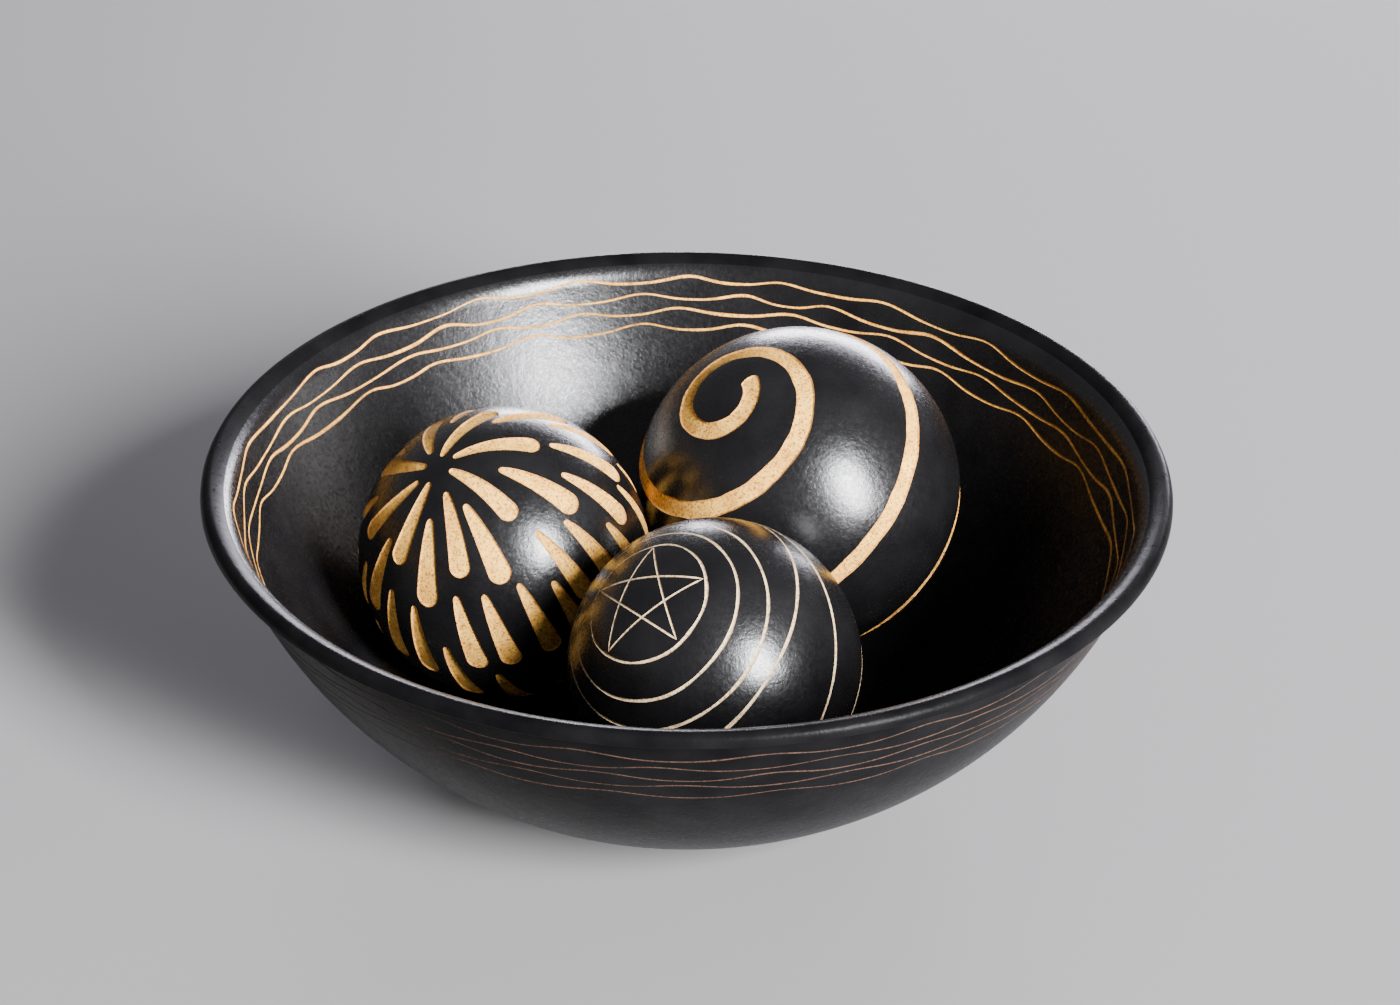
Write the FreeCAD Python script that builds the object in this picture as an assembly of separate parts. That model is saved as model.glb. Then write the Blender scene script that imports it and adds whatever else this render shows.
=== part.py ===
"""A wide satin-black bowl with an everted lip, three hollow carved balls lying in it,
and the felt pads under its foot.

Millimetres, +Z up. The origin is on the bowl's axis, in the plane the pads stand on.
Every shape of the bowl is one section, in the XZ plane, turned about the axis.
"""

import math
import os

import FreeCAD
import Part

# The bowl, from the outside in
RIM_RADIUS = 165.0
HEIGHT = 108.0
LIP_THICKNESS = 4.7
LIP_OVERHANG = 5.7  # how far the lip stands out past the wall under it
LIP_CREST_ROUND = 3.0  # over the top of the lip's outer edge
LIP_FLARE_ROUND = 12.0  # from the crest down into the inner wall
LIP_EDGE_ROUND = 1.6
LIP_ROOT_ROUND = 1.5
WALL_ARC_RADIUS = 160.0  # the outer wall, in section
BELLY_ARC_RADIUS = 23.0  # turns the outer wall under, until it is level
BELLY_LEVEL_RADIUS = 73.0  # where the underside is level
WALL_THICKNESS = 5.0
FLOOR_HEIGHT = 14.0  # the inside floor
FLOOR_ROUND = 30.0  # between the floor and the inner wall

# The foot ring, and the pads stuck under it
FOOT_OUTER_RADIUS = 70.0
FOOT_WIDTH = 12.0
FOOT_ROUND = 1.0
UNDERSIDE_HEIGHT = 6.0  # underside of the bowl just outside the foot
RECESS_HEIGHT = 5.0  # underside of the bowl inside the foot
PAD_RADIUS = 5.0
PAD_THICKNESS = 1.5
PAD_COUNT = 4
FIRST_PAD_AZIMUTH = 45.0

# The balls: outer radius, then where the centre is around and out from the bowl's axis
BALLS = {
    "spiral_ball": {"radius": 57.8, "azimuth": 49.4, "reach": 60.7},
    "petal_ball": {"radius": 50.9, "azimuth": 169.8, "reach": 64.9},
    "star_ball": {"radius": 49.3, "azimuth": -80.1, "reach": 57.9},
}
BALL_WALL = 4.5
BALL_GAP = 0.35  # kept between a ball and what it lies on
VENT_RADIUS = 1.5  # the hole that let the kiln air out, at the underside

AXIS = FreeCAD.Vector(0, 0, 1)
ORIGIN = FreeCAD.Vector(0, 0, 0)


def point(radius, height):
    """A point of the section, at this distance from the axis."""
    return FreeCAD.Vector(radius, 0, height)


def on_circle(centre, radius, towards):
    """The point of a circle that lies towards another point."""
    return centre + (towards - centre).normalize() * radius


def line(start, end):
    return Part.LineSegment(start, end).toShape()


def arc(centre, radius, start, end):
    """The shorter arc of a circle between two of its points."""
    middle = on_circle(centre, radius, (start + end) * 0.5)
    return Part.Arc(start, middle, end).toShape()


def crossing(first, first_radius, second, second_radius):
    """Where two circles cross, on the left of the way from the first centre to the second."""
    chord = second - first
    along = (first_radius**2 - second_radius**2 + chord.Length**2) / (2 * chord.Length)
    aside = math.sqrt(first_radius**2 - along**2)
    direction = FreeCAD.Vector(chord).normalize()
    left = FreeCAD.Vector(-direction.z, 0, direction.x)
    return first + direction * along + left * aside


def wall_centre():
    """The centre of the outer wall's arc.

    The arc ends where the wall meets the lip, and is tangent to the belly's arc.
    """
    belly = point(BELLY_LEVEL_RADIUS, UNDERSIDE_HEIGHT + BELLY_ARC_RADIUS)
    top = point(RIM_RADIUS - LIP_OVERHANG, HEIGHT - LIP_THICKNESS)
    return crossing(belly, WALL_ARC_RADIUS - BELLY_ARC_RADIUS, top, WALL_ARC_RADIUS)


def outer_edges(centre):
    """The section from the axis, under the foot and up the outside to the lip."""
    foot_inner = FOOT_OUTER_RADIUS - FOOT_WIDTH
    corners = [
        point(0, RECESS_HEIGHT),
        point(foot_inner, RECESS_HEIGHT),
        point(foot_inner, PAD_THICKNESS),
        point(FOOT_OUTER_RADIUS, PAD_THICKNESS),
        point(FOOT_OUTER_RADIUS, UNDERSIDE_HEIGHT),
        point(BELLY_LEVEL_RADIUS, UNDERSIDE_HEIGHT),
    ]
    belly = point(BELLY_LEVEL_RADIUS, UNDERSIDE_HEIGHT + BELLY_ARC_RADIUS)
    tangent = on_circle(centre, WALL_ARC_RADIUS, belly)
    root = point(RIM_RADIUS - LIP_OVERHANG, HEIGHT - LIP_THICKNESS)
    edges = [line(a, b) for a, b in zip(corners, corners[1:])]
    edges.append(arc(belly, BELLY_ARC_RADIUS, corners[-1], tangent))
    edges.append(arc(centre, WALL_ARC_RADIUS, tangent, root))
    return edges, root


def lip_edges(centre, root):
    """The lip: level underside, upright edge, rounded crest and the flare into the inner wall."""
    crest = point(RIM_RADIUS - LIP_CREST_ROUND, HEIGHT - LIP_CREST_ROUND)
    inner_radius = WALL_ARC_RADIUS - WALL_THICKNESS
    flare = crossing(crest, LIP_FLARE_ROUND - LIP_CREST_ROUND, centre, inner_radius + LIP_FLARE_ROUND)
    outer_bottom = point(RIM_RADIUS, root.z)
    outer_top = point(RIM_RADIUS, crest.z)
    flare_start = on_circle(flare, LIP_FLARE_ROUND, crest)
    inner_top = on_circle(centre, inner_radius, flare)
    edges = [
        line(root, outer_bottom),
        line(outer_bottom, outer_top),
        arc(crest, LIP_CREST_ROUND, outer_top, flare_start),
        arc(flare, LIP_FLARE_ROUND, flare_start, inner_top),
    ]
    return edges, inner_top


def inner_edges(centre, inner_top):
    """The inside: the wall, the round at its foot and the level floor."""
    radius = WALL_ARC_RADIUS - WALL_THICKNESS
    round_height = FLOOR_HEIGHT + FLOOR_ROUND
    reach = math.sqrt((radius - FLOOR_ROUND) ** 2 - (centre.z - round_height) ** 2)
    round_centre = point(centre.x + reach, round_height)
    tangent = on_circle(centre, radius, round_centre)
    floor_edge = point(round_centre.x, FLOOR_HEIGHT)
    floor_middle = point(0, FLOOR_HEIGHT)
    return [
        arc(centre, radius, inner_top, tangent),
        arc(round_centre, FLOOR_ROUND, tangent, floor_edge),
        line(floor_edge, floor_middle),
        line(floor_middle, point(0, RECESS_HEIGHT)),
    ]


def rings_at(solid, radius, height):
    """The solid's circular edges with this radius, at this height."""
    def matches(edge):
        circle = edge.Curve
        if not isinstance(circle, Part.Circle):
            return False
        return abs(circle.Radius - radius) < 1e-3 and abs(circle.Center.z - height) < 1e-3

    return [edge for edge in solid.Edges if matches(edge)]


def bowl():
    centre = wall_centre()
    outside, root = outer_edges(centre)
    lip, inner_top = lip_edges(centre, root)
    section = Part.Face(Part.Wire(outside + lip + inner_edges(centre, inner_top)))
    solid = section.revolve(ORIGIN, AXIS, 360)
    rounds = [
        (LIP_EDGE_ROUND, RIM_RADIUS, root.z),
        (LIP_ROOT_ROUND, root.x, root.z),
        (FOOT_ROUND, FOOT_OUTER_RADIUS, PAD_THICKNESS),
        (FOOT_ROUND, FOOT_OUTER_RADIUS - FOOT_WIDTH, PAD_THICKNESS),
    ]
    for size, radius, height in rounds:
        solid = solid.makeFillet(size, rings_at(solid, radius, height))
    return solid


def rest_height(radius, reach):
    """How high a ball's centre is when it lies on the floor or against the wall."""
    centre = wall_centre()
    on_floor = FLOOR_HEIGHT + radius + BALL_GAP
    to_wall = WALL_ARC_RADIUS - WALL_THICKNESS - radius - BALL_GAP
    on_wall = centre.z - math.sqrt(to_wall**2 - (reach - centre.x) ** 2)
    return max(on_floor, on_wall)


def ball(radius, azimuth, reach):
    """A hollow ball, with its vent hole underneath."""
    shell = Part.makeSphere(radius).cut(Part.makeSphere(radius - BALL_WALL))
    vent = Part.makeCylinder(VENT_RADIUS, 2 * radius, ORIGIN, -AXIS)
    angle = math.radians(azimuth)
    place = FreeCAD.Vector(reach * math.cos(angle), reach * math.sin(angle), rest_height(radius, reach))
    return shell.cut(vent).translated(place)


def felt_pad(number):
    """One round pad, under the middle of the foot ring."""
    angle = math.radians(FIRST_PAD_AZIMUTH + number * 360 / PAD_COUNT)
    reach = FOOT_OUTER_RADIUS - FOOT_WIDTH / 2
    place = FreeCAD.Vector(reach * math.cos(angle), reach * math.sin(angle), 0)
    return Part.makeCylinder(PAD_RADIUS, PAD_THICKNESS, place, AXIS)


def main():
    nodes = {"bowl": bowl()}
    for name, sizes in BALLS.items():
        nodes[name] = ball(**sizes)
    for number in range(PAD_COUNT):
        nodes[f"felt_pad_{number + 1}"] = felt_pad(number)
    os.makedirs("parts", exist_ok=True)
    for name, shape in nodes.items():
        shape.exportStep(f"parts/{name}.step")


main()
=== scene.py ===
"""A satin-black clay bowl and the three balls that lie in it, all carved through to buff clay.

Metres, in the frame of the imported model: +Z up, the origin on the bowl's axis where it stands.
Every cut is real: a closed cutter follows each line or petal, and is taken away from the body.
Colatitudes and azimuths are in degrees. A ball's are measured from the pole of its decoration.
"""

import math
import random

import bmesh
import bpy
import numpy as np
from mathutils import Matrix, Vector


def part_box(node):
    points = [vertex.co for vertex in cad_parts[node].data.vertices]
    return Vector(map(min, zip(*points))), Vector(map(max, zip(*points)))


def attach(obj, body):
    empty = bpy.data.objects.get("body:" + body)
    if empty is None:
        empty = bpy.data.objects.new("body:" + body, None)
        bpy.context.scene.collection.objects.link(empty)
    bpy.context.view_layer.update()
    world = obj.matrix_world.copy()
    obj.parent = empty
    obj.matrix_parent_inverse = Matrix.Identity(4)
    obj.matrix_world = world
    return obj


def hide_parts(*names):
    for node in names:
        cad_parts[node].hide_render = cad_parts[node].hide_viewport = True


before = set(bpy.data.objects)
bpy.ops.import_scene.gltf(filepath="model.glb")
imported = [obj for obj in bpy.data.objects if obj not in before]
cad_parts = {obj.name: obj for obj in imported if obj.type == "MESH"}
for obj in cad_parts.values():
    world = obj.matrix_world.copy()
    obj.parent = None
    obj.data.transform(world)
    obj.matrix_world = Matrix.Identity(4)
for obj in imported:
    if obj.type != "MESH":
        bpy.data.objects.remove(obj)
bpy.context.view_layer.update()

MM = 0.001

# The bowl's section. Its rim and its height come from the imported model.
LIP_THICKNESS = 4.7 * MM
LIP_OVERHANG = 5.7 * MM
LIP_CREST_ROUND = 3.0 * MM
LIP_FLARE_ROUND = 12.0 * MM  # from the crest down into the inner wall
LIP_BLEND = 2.5 * MM  # how far under the lip the outer wall begins to turn out
WALL_ARC_RADIUS = 160 * MM
BELLY_ARC_RADIUS = 23 * MM
BELLY_LEVEL_RADIUS = 73 * MM
WALL_THICKNESS = 5 * MM
FLOOR_HEIGHT = 14 * MM
FLOOR_ROUND = 30 * MM
FOOT_OUTER_RADIUS = 70 * MM
FOOT_WIDTH = 12 * MM
UNDERSIDE_HEIGHT = 6 * MM
RECESS_HEIGHT = 5 * MM
BARE_FOOT_HEIGHT = 2.2 * MM  # the slip was wiped off the foot up to here
LIP_WEAR = 8 * MM  # handling has dulled the slip this far in from the rim, and outside
BOWL_SEGMENTS = 256

# How far apart the section's points are, at most
WALL_STEP = 3.2 * MM
BELLY_STEP = 1.5 * MM
FLARE_STEP = 0.8 * MM
CREST_STEP = 0.5 * MM
SAME_POINT = 0.01 * MM  # closer ones are one point

# The wavy lines, from the rim down: height and swing in millimetres, and the crests' azimuths.
# Where no crests are given they follow on evenly.
INSIDE_LINES = [
    (100.8, 1.25, (7, 27, 44, 62, 77, 90, 106, 121, 138, 151, 172, 189)),
    (94.6, 1.45, (-3, 16, 33, 53, 70, 82, 97, 112, 127, 143, 160, 179)),
    (89.4, 1.20, (7, 25, 43, 60, 75, 92, 106, 119, 133, 153, 168, 187)),
    (84.2, 1.35, (-3, 18, 34, 51, 66, 82, 97, 114, 130, 142, 162, 177, 192)),
]
OUTSIDE_LINES = [
    (94.0, 1.3, (258, 280)),
    (88.5, 1.0, (267, 288)),
    (84.0, 1.3, (260, 281)),
    (79.3, 0.9, (270, 290)),
    (74.2, 1.2, (261, 282)),
]
CREST_SPACING = 18.5
CREST_SHARPNESS = 0.16  # 0 for plain waves
LINE_STEPS = 420  # sections in one turn of a line
INSIDE_HALF_WIDTH = 0.50 * MM
OUTSIDE_HALF_WIDTH = 0.31 * MM
LINE_DRIFT = 0.35  # how far a whole line strays up and down, in millimetres
SWING_UNEVENNESS = 0.30  # as a share of the waves' swing
LINE_UNEVENNESS = 0.40  # as a share of a line's width
INSIDE_SAG = 3.4  # how much lower the inside lines run round one side of the bowl, in millimetres
SAG_AZIMUTH = -5
SAG_REACH = 55  # degrees to each side of that azimuth
SAG_ABRUPTNESS = 5

# The balls, and the direction of each one's decoration pole
BALL_WALL = 4.5 * MM
VENT_RADIUS = 1.5 * MM
VENT_SEGMENTS = 32
BALL_SUBDIVISIONS = 7
HOLLOW_SUBDIVISIONS = 5
SPIRAL_POLE = (-0.474, -0.334, 0.815)
PETAL_POLE = (-0.412, -0.322, 0.853)
STAR_POLE = (-0.490, -0.377, 0.786)

# The spiral band: its colatitude is a polynomial in the turns from its inner end
SPIRAL_CURVE = (10.83, -5.03, 22.66, -3.35)
SPIRAL_START = 0.015
SPIRAL_TURNS = 3.32
SPIRAL_THINS = (2.2, 2.7)  # the turns between which the band grows narrower
SPIRAL_THIN_SHARE = 0.6
SPIRAL_STEPS = 640
SPIRAL_BLUNTNESS = (0.009, 0.02)  # the shares of its length that its two ends are rounded over
SPIRAL_RAGGEDNESS = 0.07  # how unevenly the band's edges are cut, as a share of its width
SPIRAL_WANDER = 0.22  # how far it strays from the curve, in degrees
SPIRAL_HALF_WIDTH = 3.2 * MM

# The rings of petals from the pole down. Each petal: the azimuth of its broad end, the
# colatitude of its tip. Each ring: the petals' length and twist in degrees, half width in mm.
FIRST_PETALS = [
    (-29, 7), (-84, 6), (-128, 13), (-170, 7), (153, 9), (106, 5), (60, 9), (19, 5),
]
SECOND_PETALS = [
    (-61, 25), (-110, 22), (-150, 22), (172, 33), (128, 32), (87, 27), (38, 28), (0, 30),
]
THIRD_PETALS = [
    (-31, 45), (-50, 49), (-73, 56), (-86, 49), (-109, 59), (-125, 56), (-138, 53), (-162, 56),
    (-176, 52), (158, 51), (141, 57), (115, 51), (99, 56), (74, 51), (56, 55), (27, 54), (11, 57),
    (-12, 50),
]
FOURTH_PETALS = [
    (-25, 81), (-41, 76), (-62, 73), (-97, 67), (-138, 93), (-152, 74), (165, 76), (146, 76),
    (124, 74), (104, 82), (83, 76), (64, 79), (35, 76), (17, 81), (-4, 74),
]
PETAL_RINGS = [
    (34, -11, 3.8, FIRST_PETALS),
    (34, -7, 4.2, SECOND_PETALS),
    (34, -4, 3.8, THIRD_PETALS),
    (35, -4, 3.6, FOURTH_PETALS),
]
LOWER_RINGS = [(30, 116, 3.3, 12), (24, 149, 2.9, 8)]  # length, tip, half width, count
LOWER_TWIST = -4
PETAL_TIP_RADIUS = 0.8 * MM
PETAL_FULLNESS = 0.62  # 1 for straight sides; less broadens the petal nearer to its tip
PETAL_STEPS = 26

# The star's tips, and the rings round it: colatitude, how far the ring leans, towards which azimuth
STAR_COLATITUDE = 24.7
STAR_AZIMUTHS = (40.7, -36.9, -102.5, -178.7, 107.6)
STAR_STEPS = 16
STAR_BLUNTNESS = 0.04
STAR_RINGS = [
    (26.0, 0.6, -130),
    (37.5, 3.3, -134),
    (47.5, 5.6, -117),
    (69.5, 8.8, 110),
    (90.0, 19.0, -165),
    (114.0, 5.0, -150),
    (134.0, 5.0, 30),
    (155.0, 3.0, -60),
]
STAR_LINE_HALF_WIDTH = 0.34 * MM
RING_HALF_WIDTH = 0.40 * MM
RING_STEPS = 120
RING_WANDER = 0.35  # how far a ring strays, in degrees
RING_SWELL = 0.42  # how much wider it is where the tool was pressed hardest, as a share
RING_SWELL_AZIMUTH = -85
RING_UNEVENNESS = 0.38  # as a share of its width

# How every cut is made
CUT_DEPTH = 0.55 * MM
LINE_DEPTH = 0.40 * MM
CUTTER_LIFT = 0.6 * MM  # how far a cutter stands out of the surface
EDGE_SHARE = 0.45  # at most this share of a cut's half width is its sloping edge
FLOOR_EDGE_DEPTH = 0.85  # how deep the sides of a cut's floor are, as a share of its middle
FULL_DEPTH_HALF_WIDTH = 0.7 * MM  # narrower cuts are shallower
THINNEST = 0.10 * MM

# How the surfaces are shaded
BATCH = 4096  # points compared with the whole section at a time
SHARP_ANGLE = 0.7  # radians between two faces, from which the edge between them looks sharp
WALL_FACING = 0.7  # least cosine between a face and the uncut wall, for it to be part of the wall
BALL_FACING = 0.9  # the same for a ball

# The floor, the lights and the camera
FLOOR_REACH = 6.0  # the floor is flat out to here
FLOOR_SWEEP = 2.2  # and then sweeps up in a quarter circle
FLOOR_COLOUR = (0.215, 0.212, 0.21, 1)
LIGHT_DISTANCE = 4.5
SKY_COLOUR = (0.93, 0.93, 1.0, 1)
SKY_STRENGTH = 0.24
CAMERA_ELEVATION = 30.5
CAMERA_ROLL = 0.64
CAMERA_DISTANCE = 1.2
CAMERA_AIM = (0.0045, 0.0, 0.0929)
CAMERA_LENS = 89.9

SLIP, CLAY, EDGE, PAINTED_SHADE_CLAY, SCRATCH, DULL_SLIP = range(6)  # every carved piece's material indexes
MIX_FACTOR, MIX_A, MIX_B, MIX_RESULT = 0, 6, 7, 2  # a Mix node's sockets for colours


def unit(vectors):
    return vectors / np.linalg.norm(vectors, axis=-1, keepdims=True)


def wobble(count, rates, seed):
    """This many values from -1 to 1 on a smooth closed curve: a sum of waves at these rates."""
    chance = random.Random(seed)
    turn = np.linspace(0, 2 * math.pi, count, endpoint=False)
    parts = [np.cos(turn * n + chance.uniform(0, 2 * math.pi)) / n**0.5 for n in rates]
    total = sum(parts)
    return total / np.abs(total).max()


# ---- materials -------------------------------------------------------------------------------


class Nodes:
    """A new material with short ways to add and join its nodes."""

    def __init__(self, name):
        self.material = bpy.data.materials.new(name)
        self.material.use_nodes = True
        self.tree = self.material.node_tree
        self.shader = self.tree.nodes["Principled BSDF"]
        self.place = self.tree.nodes.new("ShaderNodeTexCoord").outputs["Object"]

    def add(self, kind, **inputs):
        node = self.tree.nodes.new(kind)
        for name, value in inputs.items():
            self.set(node, name.replace("_", " "), value)
        return node

    def set(self, node, name, value):
        socket = node.inputs[name]
        if isinstance(value, bpy.types.NodeSocket):
            self.tree.links.new(value, socket)
        else:
            socket.default_value = value

    def noise(self, size, detail=2.0, roughness=0.5, distortion=0.0):
        """Noise from 0 to 1 whose features are about this size."""
        node = self.add("ShaderNodeTexNoise", Vector=self.place, Scale=1 / size, Detail=detail,
                        Roughness=roughness, Distortion=distortion)
        return node.outputs["Fac"]

    def ramp(self, value, *stops):
        """Colours or grey levels by value: (position, colour or grey)."""
        node = self.tree.nodes.new("ShaderNodeValToRGB")
        self.tree.links.new(value, node.inputs["Fac"])
        marks = node.color_ramp.elements
        while len(marks) < len(stops):
            marks.new(0.5)
        for mark, (position, colour) in zip(marks, stops):
            mark.position = position
            mark.color = (*colour, 1) if isinstance(colour, tuple) else (colour, colour, colour, 1)
        return node.outputs["Color"]

    def mix(self, share, first, second, blend="MIX"):
        node = self.tree.nodes.new("ShaderNodeMix")
        node.data_type = "RGBA"
        node.blend_type = blend
        for index, value in ((MIX_FACTOR, share), (MIX_A, first), (MIX_B, second)):
            if isinstance(value, bpy.types.NodeSocket):
                self.tree.links.new(value, node.inputs[index])
            elif isinstance(value, tuple):
                node.inputs[index].default_value = (*value, 1)
            else:
                node.inputs[index].default_value = value
        return node.outputs[MIX_RESULT]

    def bump(self, height, distance, normal=None):
        node = self.add("ShaderNodeBump", Height=height, Distance=distance, Strength=1.0)
        if normal is not None:
            self.set(node, "Normal", normal)
        return node.outputs["Normal"]


def slip(name, smoothest, roughest, specular):
    """Burnished black slip: satin, finely grained, with the faint marks of the burnisher."""
    nodes = Nodes(name)
    shader = nodes.shader
    tone = nodes.noise(18 * MM, detail=4)
    colour = nodes.ramp(tone, (0.30, (0.0024, 0.0023, 0.0026)), (0.72, (0.0062, 0.0058, 0.0061)))
    nodes.set(shader, "Base Color", colour)
    sheen = nodes.noise(1.6 * MM, detail=3, roughness=0.6)
    nodes.set(shader, "Roughness", nodes.ramp(sheen, (0.30, smoothest), (0.75, roughest)))
    shader.inputs["Specular IOR Level"].default_value = specular
    grain = nodes.bump(nodes.noise(1.1 * MM, detail=4, roughness=0.6, distortion=0.5), 0.085 * MM)
    dents = nodes.bump(nodes.noise(6 * MM, detail=2), 0.12 * MM, grain)
    nodes.set(shader, "Normal", dents)
    return nodes.material


def bare_clay(name, pale, deep, speck):
    """Buff clay where the slip is cut away: warm, matt, full of fine brown specks."""
    nodes = Nodes(name)
    shader = nodes.shader
    body = nodes.ramp(nodes.noise(7 * MM, detail=4, roughness=0.6), (0.34, deep), (0.60, pale))
    sand = nodes.noise(0.9 * MM, detail=3, roughness=0.7)
    sand = nodes.ramp(sand, (0.36, speck), (0.52, (1.0, 1.0, 1.0)))
    body = nodes.mix(0.72, body, sand, "MULTIPLY")
    grains = nodes.add("ShaderNodeTexVoronoi", Vector=nodes.place, Scale=1 / (1.1 * MM))
    near = nodes.ramp(grains.outputs["Distance"], (0.20, 1.0), (0.36, 0.0))
    chosen = nodes.ramp(grains.outputs["Color"], (0.58, 0.0), (0.66, 0.85))
    specks = nodes.mix(1.0, near, chosen, "MULTIPLY")
    nodes.set(shader, "Base Color", nodes.mix(specks, body, speck))
    shader.inputs["Specular IOR Level"].default_value = 0.15
    nodes.set(shader, "Roughness", nodes.ramp(nodes.noise(2 * MM), (0.3, 0.62), (0.7, 0.80)))
    grit = nodes.noise(0.6 * MM, detail=4, roughness=0.65)
    nodes.set(shader, "Normal", nodes.bump(grit, 0.10 * MM))
    return nodes.material


def felt():
    """Dense black felt, with short fibres lying every way."""
    nodes = Nodes("felt")
    shader = nodes.shader
    fibres = nodes.noise(0.5 * MM, detail=6, roughness=0.75, distortion=2.5)
    colour = nodes.ramp(fibres, (0.30, (0.012, 0.012, 0.013)), (0.75, (0.060, 0.058, 0.056)))
    nodes.set(shader, "Base Color", colour)
    shader.inputs["Roughness"].default_value = 0.95
    shader.inputs["Sheen Weight"].default_value = 0.35
    nodes.set(shader, "Normal", nodes.bump(fibres, 0.20 * MM))
    return nodes.material


MATERIALS = [
    slip("black_slip", 0.22, 0.32, 0.50),
    bare_clay("bare_clay", (0.84, 0.468, 0.088), (0.61, 0.300, 0.052), (0.16, 0.055, 0.012)),
    bare_clay("clay_edge", (0.70, 0.34, 0.075), (0.45, 0.20, 0.042), (0.12, 0.042, 0.010)),
    # painted shade: the clay in the outside lines, darkened almost to black for the shade on the
    # outer wall
    bare_clay("painted_shade_clay", (0.058, 0.028, 0.016), (0.030, 0.015, 0.010), (0.02, 0.010, 0.007)),
    bare_clay("scratched_clay", (0.66, 0.50, 0.30), (0.48, 0.35, 0.20), (0.20, 0.12, 0.06)),
    slip("dull_slip", 0.26, 0.36, 0.03),
]
FELT = felt()


# ---- meshes ----------------------------------------------------------------------------------


def mesh_object(name, vertices, faces, indexes=None):
    """A new object with all the carved pieces' materials, and an index into them for each face."""
    mesh = bpy.data.meshes.new(name)
    mesh.from_pydata([tuple(v) for v in vertices], [], faces)
    for material in MATERIALS:
        mesh.materials.append(material)
    if indexes is not None:
        mesh.polygons.foreach_set("material_index", indexes)
    obj = bpy.data.objects.new(name, mesh)
    bpy.context.scene.collection.objects.link(obj)
    return obj


def lathe(name, section, segments, centre=(0, 0)):
    """A closed body turned from a section that starts and ends on the axis."""
    rings = section[1:-1]
    turn = np.linspace(0, 2 * math.pi, segments, endpoint=False)
    around = np.stack([np.cos(turn), np.sin(turn)], -1)
    vertices = [(centre[0], centre[1], section[0][1])]
    for radius, height in rings:
        vertices += [(centre[0] + radius * x, centre[1] + radius * y, height) for x, y in around]
    vertices.append((centre[0], centre[1], section[-1][1]))
    last = len(vertices) - 1
    faces = []
    for here in range(segments):
        there = (here + 1) % segments
        faces.append((0, 1 + there, 1 + here))
        for ring in range(len(rings) - 1):
            low = 1 + ring * segments
            high = low + segments
            faces.append((low + here, low + there, high + there, high + here))
        top = 1 + (len(rings) - 1) * segments
        faces.append((top + here, top + there, last))
    return mesh_object(name, vertices, faces)


def sphere(name, centre, radius, subdivisions):
    """A closed ball of nearly equal triangles."""
    shape = bmesh.new()
    bmesh.ops.create_icosphere(shape, subdivisions=subdivisions, radius=radius)
    bmesh.ops.translate(shape, vec=Vector(centre), verts=shape.verts)
    obj = mesh_object(name, [], [])
    shape.to_mesh(obj.data)
    shape.free()
    return obj


def cutter_section(half_width, depth):
    """One cross-section of a cutter: (across, up) points, sloping edge, floor, edge and top."""
    depth *= min(1.0, half_width / FULL_DEPTH_HALF_WIDTH)
    slope = min(EDGE_SHARE * half_width, depth)
    floor = half_width - slope
    brim = half_width + slope * CUTTER_LIFT / depth
    side = -FLOOR_EDGE_DEPTH * depth
    bed = [(-floor, side), (-floor / 2, -depth), (0, -depth), (floor / 2, -depth), (floor, side)]
    top = [(brim * share, CUTTER_LIFT) for share in (1, 0.5, 0, -0.5, -1)]
    return np.array(bed + top)


def line_sides(points, normals, closed):
    """The direction across a line at each of its points."""
    ahead = np.roll(points, -1, 0)
    behind = np.roll(points, 1, 0)
    if not closed:
        ahead[-1] = points[-1]
        behind[0] = points[0]
    return unit(np.cross(normals, ahead - behind))


def place_section(section, point, normal, side, bend):
    """A cross-section's points in space, on a surface that bends by this much across the line."""
    across, up = section.T[:, :, None]
    if not bend:
        return point + side * across + normal * up
    spread = side * np.sin(across * bend) / bend + normal * (np.cos(across * bend) - 1) / bend
    outward = normal * np.cos(across * bend) + side * np.sin(across * bend)
    return point + spread + outward * up


class Cutter:
    """Closed cutters that don't touch each other, taken away together."""

    def __init__(self, floor=CLAY, edge=EDGE):
        self.vertices = []
        self.faces = []
        self.indexes = []
        self.edge = edge
        self.section_indexes = [floor] * 4 + [edge] + [SLIP] * 4 + [edge]

    def follow(self, points, normals, half_widths, depth, bend=0.0, closed=False):
        """Adds a cut along a line on a surface that bends by this much across the line."""
        start = len(self.vertices)
        sides = line_sides(points, normals, closed)
        for point, normal, side, half_width in zip(points, normals, sides, half_widths):
            section = cutter_section(half_width, depth)
            self.vertices += list(place_section(section, point, normal, side, bend))
        self.join_sections(start, len(points), closed)

    def join_sections(self, start, count, closed):
        """Adds the faces between this many sections, and the two end faces of an open cut."""
        size = len(self.section_indexes)
        for span in range(count if closed else count - 1):
            here = start + span * size
            there = start + (span + 1) % count * size
            for corner, index in enumerate(self.section_indexes):
                after = (corner + 1) % size
                self.faces.append((here + corner, here + after, there + after, there + corner))
                self.indexes.append(index)
        if not closed:
            end = start + (count - 1) * size
            self.faces.append(tuple(range(start + size - 1, start - 1, -1)))
            self.faces.append(tuple(range(end, end + size)))
            self.indexes += [self.edge, self.edge]

    def body(self):
        """The cutters so far as one object, with every face looking outwards."""
        obj = mesh_object("cutter", self.vertices, self.faces, self.indexes)
        shape = bmesh.new()
        shape.from_mesh(obj.data)
        bmesh.ops.recalc_face_normals(shape, faces=shape.faces)
        shape.to_mesh(obj.data)
        shape.free()
        return obj


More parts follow.
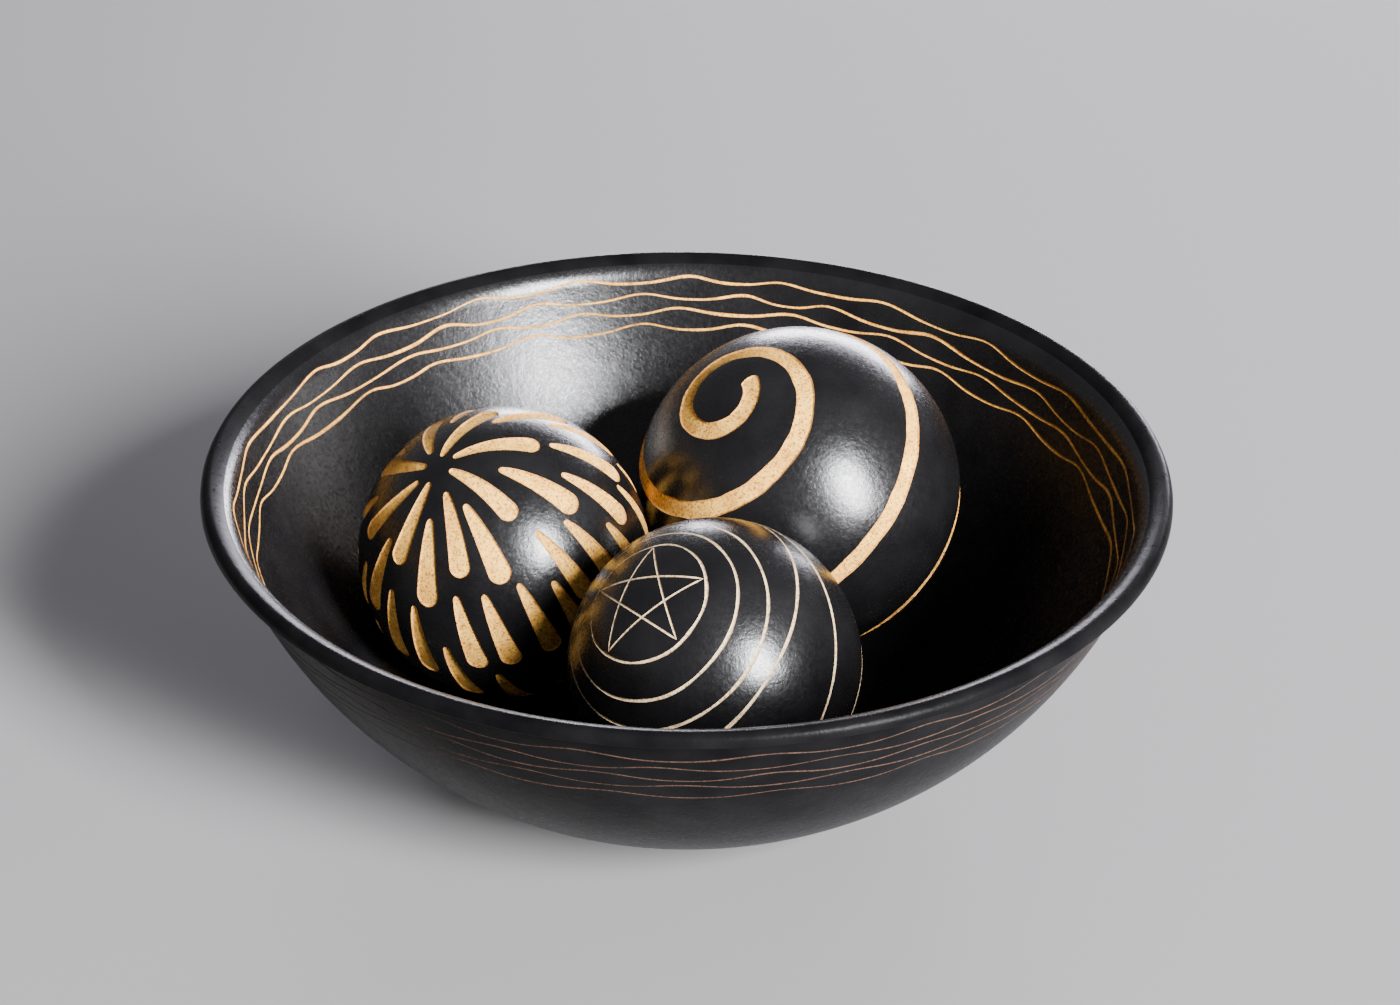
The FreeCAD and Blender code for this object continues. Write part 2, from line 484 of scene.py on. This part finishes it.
def take_away(target, cutter):
    """Cuts one object out of another and deletes it."""
    modifier = target.modifiers.new("cut", "BOOLEAN")
    modifier.operation = "DIFFERENCE"
    modifier.solver = "MANIFOLD"
    modifier.object = cutter
    evaluated = target.evaluated_get(bpy.context.evaluated_depsgraph_get())
    result = bpy.data.meshes.new_from_object(evaluated)
    target.modifiers.clear()
    result.name = target.name
    target.data = result
    bpy.data.objects.remove(cutter)


def read(items, attribute, kind=float, width=1):
    """One attribute of all of a mesh's vertices, corners or faces."""
    values = np.empty(len(items) * width, kind)
    items.foreach_get(attribute, values)
    return values if width == 1 else values.reshape(-1, width)


def shade(obj, true_normals):
    """Smooth shading: the slip keeps the uncut surface's own normals, and cuts keep sharp edges.

    true_normals(points, face_normals) gives a normal for each point, or zeros to work it out.
    """
    mesh = obj.data
    faces = len(mesh.polygons)
    face_of_corner = np.repeat(np.arange(faces), read(mesh.polygons, "loop_total", int))
    points = read(mesh.vertices, "co", width=3)[read(mesh.loops, "vertex_index", int)]
    face_normals = read(mesh.polygons, "normal", width=3)[face_of_corner]
    materials = read(mesh.polygons, "material_index", int)[face_of_corner]
    wanted = true_normals(points, face_normals)
    wanted[~np.isin(materials, (SLIP, DULL_SLIP))] = 0
    mark_borders(mesh)
    mesh.polygons.foreach_set("use_smooth", np.ones(faces, bool))
    mesh.normals_split_custom_set(wanted.tolist())


def mark_borders(mesh):
    """Marks as sharp each edge between faces of different materials, and each real corner."""
    shape = bmesh.new()
    shape.from_mesh(mesh)
    for edge in shape.edges:
        one, other = edge.link_faces
        same_material = one.material_index == other.material_index
        edge.smooth = same_material and edge.calc_face_angle(0) < SHARP_ANGLE
    shape.to_mesh(mesh)
    shape.free()


# ---- the bowl --------------------------------------------------------------------------------


def arc(centre, radius, start, end, step):
    """Points of the shorter arc from one point to another, at most a step apart."""
    first = math.atan2(start[1] - centre[1], start[0] - centre[0])
    last = math.atan2(end[1] - centre[1], end[0] - centre[0])
    count = max(2, math.ceil(abs(last - first) * radius / step) + 1)
    return [(centre[0] + radius * math.cos(a), centre[1] + radius * math.sin(a))
            for a in np.linspace(first, last, count)]


def soften(corners, rounds=4):
    """Cuts a path's corners again and again, into one smooth curve from end to end."""
    path = [np.array(corner) for corner in corners]
    for _ in range(rounds):
        cut = [path[0]]
        for here, there in zip(path, path[1:]):
            cut += [here * 0.75 + there * 0.25, here * 0.25 + there * 0.75]
        path = cut + [path[-1]]
    return [tuple(point) for point in path]


def crossing(first, first_radius, second, second_radius):
    """Where two circles cross, on the left of the way from the first centre to the second."""
    chord = second - first
    length = np.hypot(*chord)
    along = (first_radius**2 - second_radius**2 + length**2) / (2 * length)
    aside = math.sqrt(first_radius**2 - along**2)
    return first + (chord * along + np.array([-chord[1], chord[0]]) * aside) / length


class BowlShape:
    """The bowl's section, worked out from the model's rim and height."""

    def __init__(self):
        low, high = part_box("bowl")
        self.rim = high.x
        self.height = high.z
        self.foot = low.z
        belly = np.array([BELLY_LEVEL_RADIUS, UNDERSIDE_HEIGHT + BELLY_ARC_RADIUS])
        top = np.array([self.rim - LIP_OVERHANG, self.height - LIP_THICKNESS])
        self.belly = belly
        self.centre = crossing(belly, WALL_ARC_RADIUS - BELLY_ARC_RADIUS, top, WALL_ARC_RADIUS)
        self.inner_radius = WALL_ARC_RADIUS - WALL_THICKNESS
        self.crest = np.array([self.rim - LIP_CREST_ROUND, self.height - LIP_CREST_ROUND])
        self.flare = crossing(self.crest, LIP_FLARE_ROUND - LIP_CREST_ROUND,
                              self.centre, self.inner_radius + LIP_FLARE_ROUND)
        self.inner_top = self.centre + unit(self.flare - self.centre) * self.inner_radius

    def outside(self, height):
        """Radius and outward normal, seen in the section's plane, of the outer wall at a height."""
        radius = self.centre[0] + np.sqrt(WALL_ARC_RADIUS**2 - (self.centre[1] - height) ** 2)
        outward = np.stack([radius - self.centre[0], height - self.centre[1]], -1)
        return radius, outward / WALL_ARC_RADIUS

    def inside(self, height):
        """The same for the inner wall and, higher up, for the lip's flare."""
        on_wall = self.centre[0] + np.sqrt(self.inner_radius**2 - (self.centre[1] - height) ** 2)
        above = np.maximum(height, self.inner_top[1])
        on_flare = self.flare[0] - np.sqrt(LIP_FLARE_ROUND**2 - (self.flare[1] - above) ** 2)
        is_flare = height > self.inner_top[1]
        radius = np.where(is_flare, on_flare, on_wall)
        place = np.stack([radius, height], -1)
        normal = np.where(is_flare[:, None], (place - self.flare) / LIP_FLARE_ROUND,
                          (self.centre - place) / self.inner_radius)
        return radius, normal

    def foot_path(self):
        """From the axis, under the recess and the foot ring, to where the belly starts."""
        inner = FOOT_OUTER_RADIUS - FOOT_WIDTH
        ring = soften([
            (inner - 6 * MM, RECESS_HEIGHT), (inner - 0.8 * MM, RECESS_HEIGHT),
            (inner, self.foot + 1 * MM), (inner + 1 * MM, self.foot),
            (FOOT_OUTER_RADIUS - 1 * MM, self.foot), (FOOT_OUTER_RADIUS, self.foot + 1 * MM),
            (FOOT_OUTER_RADIUS, UNDERSIDE_HEIGHT), (BELLY_LEVEL_RADIUS, UNDERSIDE_HEIGHT),
        ], 2)
        return [(0, RECESS_HEIGHT), (inner / 2, RECESS_HEIGHT)] + ring

    def lip_path(self, outer_end):
        """From the outer wall's end, round the lip, to the top of the inner wall."""
        root = np.array([self.rim - LIP_OVERHANG, self.height - LIP_THICKNESS])
        side = np.array([self.rim, self.crest[1]])
        flare_start = self.flare + unit(self.crest - self.flare) * LIP_FLARE_ROUND
        return (soften([outer_end, root, (self.rim, root[1]), side], 3)
                + arc(self.crest, LIP_CREST_ROUND, side, flare_start, CREST_STEP)
                + arc(self.flare, LIP_FLARE_ROUND, flare_start, self.inner_top, FLARE_STEP))

    def inner_path(self):
        """From the top of the inner wall, down it and over the floor to the axis."""
        round_height = FLOOR_HEIGHT + FLOOR_ROUND
        drop = self.centre[1] - round_height
        round_reach = math.sqrt((self.inner_radius - FLOOR_ROUND) ** 2 - drop**2)
        floor_round = np.array([self.centre[0] + round_reach, round_height])
        wall_foot = self.centre + unit(floor_round - self.centre) * self.inner_radius
        floor_edge = (floor_round[0], FLOOR_HEIGHT)
        return (arc(self.centre, self.inner_radius, self.inner_top, wall_foot, WALL_STEP)
                + arc(floor_round, FLOOR_ROUND, wall_foot, floor_edge, WALL_STEP)
                + [(floor_edge[0] * share, FLOOR_HEIGHT) for share in (0.8, 0.6, 0.4, 0.2, 0)])

    def section(self):
        """From the axis under the foot, up the outside, over the lip and down to the floor."""
        belly_start = (BELLY_LEVEL_RADIUS, UNDERSIDE_HEIGHT)
        belly_end = self.centre + unit(self.belly - self.centre) * WALL_ARC_RADIUS
        lip_height = self.height - LIP_THICKNESS - LIP_BLEND
        outer_end = (self.outside(lip_height)[0], lip_height)
        paths = [
            self.foot_path(),
            arc(self.belly, BELLY_ARC_RADIUS, belly_start, belly_end, BELLY_STEP),
            arc(self.centre, WALL_ARC_RADIUS, belly_end, outer_end, WALL_STEP),
            self.lip_path(outer_end),
            self.inner_path(),
        ]
        joined = [(0, RECESS_HEIGHT)]
        for path in paths:
            for point in path:
                if math.dist(point, joined[-1]) > SAME_POINT:
                    joined.append(point)
        return joined


def section_normals(section):
    """An outward normal at each point of the section, seen in the section's plane."""
    path = np.array(section)
    ahead = np.vstack([path[1:], path[-1:]])
    behind = np.vstack([path[:1], path[:-1]])
    along = unit(ahead - behind)
    normals = np.stack([along[:, 1], -along[:, 0]], -1)
    normals[0] = (0, -1)
    normals[-1] = (0, 1)
    return normals


def turned_normals(section):
    """A function that gives the turned body's own normals near any of its points."""
    path = np.array(section)
    normals = section_normals(section)
    starts, steps = path[:-1], np.diff(path, axis=0)
    squares = (steps**2).sum(1)

    def true_normals(points, face_normals):
        radius = np.hypot(points[:, 0], points[:, 1])
        flat = np.stack([radius, points[:, 2]], -1)
        unique, back = np.unique(np.round(flat, 6), axis=0, return_inverse=True)
        result = np.empty((len(unique), 2))
        for first in range(0, len(unique), BATCH):
            part = unique[first:first + BATCH, None]
            share = np.clip(((part - starts) * steps).sum(-1) / squares, 0, 1)
            gap = ((starts + share[..., None] * steps - part) ** 2).sum(-1)
            best = gap.argmin(1)
            near = share[np.arange(len(best)), best][:, None]
            result[first:first + BATCH] = normals[best] * (1 - near) + normals[best + 1] * near
        plane = unit(result)[back.ravel()]
        safe = np.maximum(radius, 1e-9)
        x = points[:, 0] / safe * plane[:, 0]
        y = points[:, 1] / safe * plane[:, 0]
        wanted = np.stack([x, y, plane[:, 1]], -1)
        wanted[(wanted * face_normals).sum(-1) < WALL_FACING] = 0
        return wanted

    return true_normals


def waves(crests, turn):
    """The height of a line's waves, -1 to 1, at these azimuths from its first crest on."""
    gap = crests[0] + 360 - crests[-1]
    count = round(gap / CREST_SPACING)
    marks = list(crests) + [crests[-1] + gap * n / count for n in range(1, count + 1)]
    phase = 2 * math.pi * np.interp(turn, marks, range(len(marks)))
    return (np.cos(phase) + CREST_SHARPNESS * np.cos(2 * phase)) / (1 + CREST_SHARPNESS)


def line_level(line, turn, sag, seed):
    """The height of a line at these azimuths: uneven waves that drift, and sag on one side."""
    height, swing, crests = line
    swell = 1 + SWING_UNEVENNESS * wobble(LINE_STEPS, (5, 7, 11), seed + 50)
    drift = LINE_DRIFT * wobble(LINE_STEPS, (2, 3, 4, 7), seed + 90)
    level = height + swing * swell * waves(crests, turn) + drift
    nearness = np.cos(np.radians(turn - SAG_AZIMUTH)) - math.cos(math.radians(SAG_REACH))
    return (level - sag * (0.5 + 0.5 * np.tanh(SAG_ABRUPTNESS * nearness))) * MM


def wavy_line(wall, line, half_width, sag, seed, cutter):
    """A cutter for one line round the bowl, of uneven width."""
    first_crest = line[2][0]
    turn = np.linspace(first_crest, first_crest + 360, LINE_STEPS, endpoint=False)
    level = line_level(line, turn, sag, seed)
    radius, plane = wall(level)
    around = np.stack([np.cos(np.radians(turn)), np.sin(np.radians(turn))], -1)
    points = np.column_stack([around * radius[:, None], level])
    normals = np.column_stack([around * plane[:, :1], plane[:, 1]])
    unevenness = LINE_UNEVENNESS * wobble(LINE_STEPS, (5, 9, 14, 23, 41), seed + 20)
    cutter.follow(points, normals, half_width * (1 + unevenness), LINE_DEPTH, closed=True)
    return cutter.body()


def wear_slip(mesh, rim):
    """Gives the uncut faces under the foot, on the outside and on the lip their own materials."""
    for face in mesh.polygons:
        if face.material_index != SLIP:
            continue
        outside = face.normal.xy.dot(face.center.xy) > 0 or face.center.z < UNDERSIDE_HEIGHT
        if face.center.z < BARE_FOOT_HEIGHT:
            face.material_index = CLAY
        elif outside or face.center.xy.length > rim - LIP_WEAR:
            face.material_index = DULL_SLIP


def make_bowl():
    shape = BowlShape()
    section = shape.section()
    bowl = lathe("carved_bowl", section, BOWL_SEGMENTS)
    for number, line in enumerate(INSIDE_LINES):
        cutter = Cutter()
        take_away(bowl, wavy_line(shape.inside, line, INSIDE_HALF_WIDTH, INSIDE_SAG, number, cutter))
    for number, line in enumerate(OUTSIDE_LINES, len(INSIDE_LINES)):
        # the outside lines are real cuts, but their clay is painted almost black: painted shade
        cutter = Cutter(PAINTED_SHADE_CLAY, PAINTED_SHADE_CLAY)
        take_away(bowl, wavy_line(shape.outside, line, OUTSIDE_HALF_WIDTH, 0, number, cutter))
    wear_slip(bowl.data, shape.rim)
    shade(bowl, turned_normals(section))
    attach(bowl, "bowl")
    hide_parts("bowl")


# ---- the balls -------------------------------------------------------------------------------


class Ball:
    """One ball's place, and the polar grid that its decoration is drawn on."""

    def __init__(self, node, pole):
        low, high = (np.array(corner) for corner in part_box(node))
        self.node = node
        self.centre = (low + high) / 2
        self.radius = (high - low).max() / 2
        axis = unit(np.array(pole))
        up = np.array([0, 0, 1.0])
        north = unit(up - axis * (up @ axis))
        self.axes = np.array([north, np.cross(axis, north), axis])

    def directions(self, colatitude, azimuth):
        """Outward directions from the ball's centre."""
        fall, turn = np.radians(colatitude), np.radians(azimuth)
        north, east = np.sin(fall) * np.cos(turn), np.sin(fall) * np.sin(turn)
        return np.stack([north, east, np.cos(fall)], -1) @ self.axes

    def cut(self, cutter, colatitude, azimuth, half_widths, depth, closed=False):
        """Adds a cut through these places of the ball's grid."""
        self.cut_along(cutter, self.directions(colatitude, azimuth), half_widths, depth, closed)

    def cut_along(self, cutter, directions, half_widths, depth, closed=False):
        """Adds a cut through the surface points in these directions."""
        points = self.centre + self.radius * directions
        cutter.follow(points, directions, half_widths, depth, 1 / self.radius, closed)

    def body(self, name, cutters):
        """The hollow ball with its vent hole, and the decoration cut into it."""
        body = sphere(name, self.centre, self.radius, BALL_SUBDIVISIONS)
        for cutter in cutters:
            take_away(body, cutter.body())
        hollow = sphere("hollow", self.centre, self.radius - BALL_WALL, HOLLOW_SUBDIVISIONS)
        take_away(body, hollow)
        mouth, inside = self.centre[2] - self.radius - MM, self.centre[2] - self.radius / 2
        vent = [(0, mouth), (VENT_RADIUS, mouth), (VENT_RADIUS, inside), (0, inside)]
        take_away(body, lathe("vent", vent, VENT_SEGMENTS, self.centre[:2]))
        shade(body, self.true_normals)
        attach(body, self.node)
        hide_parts(self.node)

    def true_normals(self, points, face_normals):
        """The ball's own normals, turned inwards on the hollow, and zeros on the cuts' sides."""
        outward = unit(points - self.centre)
        facing = (outward * face_normals).sum(-1)
        outward[facing < 0] *= -1
        outward[np.abs(facing) < BALL_FACING] = 0
        return outward


def tapered(share, blunt_start, blunt_end):
    """How wide a cut is along its length, 0 to 1, with its ends rounded over these shares of it."""
    start = np.sqrt(1 - np.clip(1 - share / blunt_start, 0, 1) ** 2)
    end = np.sqrt(1 - np.clip(1 - (1 - share) / blunt_end, 0, 1) ** 2)
    return start * end


def make_spiral_ball():
    """A band that winds from near the pole to the far side of the ball."""
    ball = Ball("spiral_ball", SPIRAL_POLE)
    share = np.unique(np.concatenate([np.linspace(0, 1, SPIRAL_STEPS), np.linspace(0, 0.012, 16)]))
    turns = SPIRAL_START + share * SPIRAL_TURNS
    base, linear, square, cube = SPIRAL_CURVE
    steps = len(share)
    fall = base + linear * turns + square * turns**2 + cube * turns**3
    length = np.cumsum(np.sin(np.radians(fall)) * np.gradient(turns))
    along = length / length[-1] * (steps - 1)
    fall += SPIRAL_WANDER * np.interp(along, range(steps), wobble(steps, (23, 37, 58), 1))
    ragged = np.interp(along, range(steps), wobble(steps, (37, 59, 88, 131), 2))
    widths = SPIRAL_HALF_WIDTH * tapered(share, *SPIRAL_BLUNTNESS) * (1 + SPIRAL_RAGGEDNESS * ragged)
    widths *= np.interp(turns, SPIRAL_THINS, (1, SPIRAL_THIN_SHARE))
    cutter = Cutter()
    ball.cut(cutter, fall, -360 * turns, np.maximum(widths, THINNEST), CUT_DEPTH)
    ball.body("carved_spiral_ball", [cutter])


def petal(ball, cutter, end_azimuth, tip, length, twist, half_width):
    """One petal: a small round tip towards the pole, full sides and a broad round end."""
    share = (1 - np.cos(np.linspace(0, math.pi, PETAL_STEPS))) / 2
    whole = math.radians(length) * ball.radius
    way = share * whole
    fullness = (share / (1 - half_width / whole)) ** PETAL_FULLNESS
    taper = PETAL_TIP_RADIUS + (half_width - PETAL_TIP_RADIUS) * fullness
    from_tip = np.clip(1 - way / PETAL_TIP_RADIUS, 0, 1)
    from_end = np.clip(1 - (whole - way) / half_width, 0, 1)
    width = np.minimum(taper, half_width) * np.sqrt(1 - from_tip**2) * np.sqrt(1 - from_end**2)
    azimuth = end_azimuth - twist * (1 - share)
    ball.cut(cutter, tip + length * share, azimuth, np.maximum(width, THINNEST), CUT_DEPTH)


def make_petal_ball():
    """Rings of petals that fan out from the pole, each ring lying between the petals above."""
    ball = Ball("petal_ball", PETAL_POLE)
    chance = random.Random(4)
    cutters = []
    for length, twist, half_width, petals in PETAL_RINGS:
        cutter = Cutter()
        for azimuth, tip in petals:
            broad = half_width * chance.uniform(0.93, 1.05) * MM
            petal(ball, cutter, azimuth, tip, length, twist, broad)
        cutters.append(cutter)
    for length, tip, half_width, count in LOWER_RINGS:
        cutter = Cutter()
        for number in range(count):
            azimuth = number * 360 / count + chance.uniform(-1.5, 1.5)
            high = tip + chance.uniform(-1, 2)
            petal(ball, cutter, azimuth, high, length, LOWER_TWIST, half_width * MM)
        cutters.append(cutter)
    ball.body("carved_petal_ball", cutters)


def star_lines(ball):
    """A cutter for each straight line of the star, since the lines cross."""
    count = len(STAR_AZIMUTHS)
    tips = ball.directions(np.full(count, STAR_COLATITUDE), np.array(STAR_AZIMUTHS))
    share = np.linspace(0, 1, STAR_STEPS)[:, None]
    widths = STAR_LINE_HALF_WIDTH * tapered(share.ravel(), STAR_BLUNTNESS, STAR_BLUNTNESS)
    cutters = []
    for number in range(count):
        start, end = tips[number], tips[(number + 2) % count]
        line = unit(start + (end - start) * share)
        cutter = Cutter(SCRATCH, SCRATCH)
        ball.cut_along(cutter, line, np.maximum(widths, THINNEST), LINE_DEPTH)
        cutters.append(cutter)
    return cutters


def star_rings(ball):
    """One cutter for all the rings round the star, each leaning its own way."""
    rings = Cutter(SCRATCH, SCRATCH)
    turn = np.linspace(0, 360, RING_STEPS, endpoint=False)
    pressed = RING_SWELL * np.cos(np.radians(turn - RING_SWELL_AZIMUTH))
    for number, (fall, lean, lean_azimuth) in enumerate(STAR_RINGS):
        leaning = lean * np.cos(np.radians(turn - lean_azimuth))
        level = fall + leaning + RING_WANDER * wobble(RING_STEPS, (3, 5, 8), number)
        uneven = RING_UNEVENNESS * wobble(RING_STEPS, (5, 9, 16, 27), number + 30)
        widths = RING_HALF_WIDTH * (1 + pressed + uneven)
        ball.cut(rings, level, turn, widths, LINE_DEPTH, closed=True)
    return rings


def make_star_ball():
    ball = Ball("star_ball", STAR_POLE)
    ball.body("carved_star_ball", star_lines(ball) + [star_rings(ball)])


# ---- the pads --------------------------------------------------------------------------------


def make_pads():
    for node in sorted(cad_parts):
        if not node.startswith("felt_pad"):
            continue
        low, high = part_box(node)
        radius = (high.x - low.x) / 2
        thickness = high.z - low.z
        side = soften([
            (radius * 0.6, 0), (radius * 0.97, 0), (radius, thickness / 2),
            (radius * 0.97, thickness), (radius * 0.6, thickness),
        ], 2)
        section = [(0, 0)] + side + [(0, thickness)]
        middle = (low + high) / 2
        pad = lathe(f"soft_{node}", section, 48, (middle.x, middle.y))
        pad.data.materials.clear()
        pad.data.materials.append(FELT)
        pad.data.polygons.foreach_set("use_smooth", [True] * len(pad.data.polygons))
        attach(pad, "bowl")
        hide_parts(node)


# ---- floor, light and camera -----------------------------------------------------------------


def towards(azimuth, elevation):
    """The direction of a place this far round from +X, and this far up, in degrees."""
    turn, rise = math.radians(azimuth), math.radians(elevation)
    return Vector((math.cos(rise) * math.cos(turn), math.cos(rise) * math.sin(turn), math.sin(rise)))


def make_floor():
    """A flat pale floor that sweeps up far away, all round."""
    around = np.linspace(0, 2 * math.pi, 96, endpoint=False)
    profile = []
    for rise in np.radians(np.linspace(0, 90, 24)):
        reach = FLOOR_REACH + FLOOR_SWEEP * math.sin(rise)
        profile.append((reach, FLOOR_SWEEP * (1 - math.cos(rise))))
    vertices = [(r * math.cos(a), r * math.sin(a), z) for r, z in profile for a in around]
    count = len(around)
    faces = [tuple(range(count))]
    for ring in range(len(profile) - 1):
        for here in range(count):
            low, there = ring * count, (here + 1) % count
            faces.append((low + here, low + count + here, low + count + there, low + there))
    obj = bpy.data.objects.new("floor", bpy.data.meshes.new("floor"))
    obj.data.from_pydata(vertices, [], faces)
    obj.data.shade_smooth()
    bpy.context.scene.collection.objects.link(obj)
    nodes = Nodes("floor")
    nodes.shader.inputs["Base Color"].default_value = FLOOR_COLOUR
    nodes.shader.inputs["Roughness"].default_value = 0.65
    obj.data.materials.append(nodes.material)


def softbox(name, azimuth, elevation, width, height, power, colour):
    """A rectangular light that faces the bowl."""
    light = bpy.data.lights.new(name, "AREA")
    light.shape = "RECTANGLE"
    light.size = width
    light.size_y = height
    light.energy = power
    light.color = colour
    obj = bpy.data.objects.new(name, light)
    bpy.context.scene.collection.objects.link(obj)
    direction = towards(azimuth, elevation)
    obj.location = direction * LIGHT_DISTANCE
    obj.rotation_euler = direction.to_track_quat("Z", "Y").to_euler()
    obj.visible_camera = False


def make_lights():
    softbox("key", -50, 30, 0.95, 1.80, 1150, (0.95, 0.96, 1.0))
    softbox("low", -46, 13, 0.80, 1.05, 400, (0.97, 0.97, 1.0))
    softbox("back", 78, 6, 2.90, 0.80, 310, (0.90, 0.89, 1.0))
    world = bpy.data.worlds.new("studio")
    world.use_nodes = True
    background = world.node_tree.nodes["Background"]
    background.inputs["Color"].default_value = SKY_COLOUR
    background.inputs["Strength"].default_value = SKY_STRENGTH
    bpy.context.scene.world = world


def make_camera():
    camera = bpy.data.objects.new("camera", bpy.data.cameras.new("camera"))
    bpy.context.scene.collection.objects.link(camera)
    back = towards(-90, CAMERA_ELEVATION)
    right = Vector((1, 0, 0))
    turned = Matrix((right, back.cross(right), back)).transposed().to_4x4()
    place = Matrix.Translation(Vector(CAMERA_AIM) + back * CAMERA_DISTANCE)
    camera.matrix_world = place @ turned @ Matrix.Rotation(math.radians(CAMERA_ROLL), 4, "Z")
    camera.data.lens = CAMERA_LENS
    bpy.context.scene.camera = camera


make_bowl()
make_spiral_ball()
make_petal_ball()
make_star_ball()
make_pads()
make_floor()
make_lights()
make_camera()
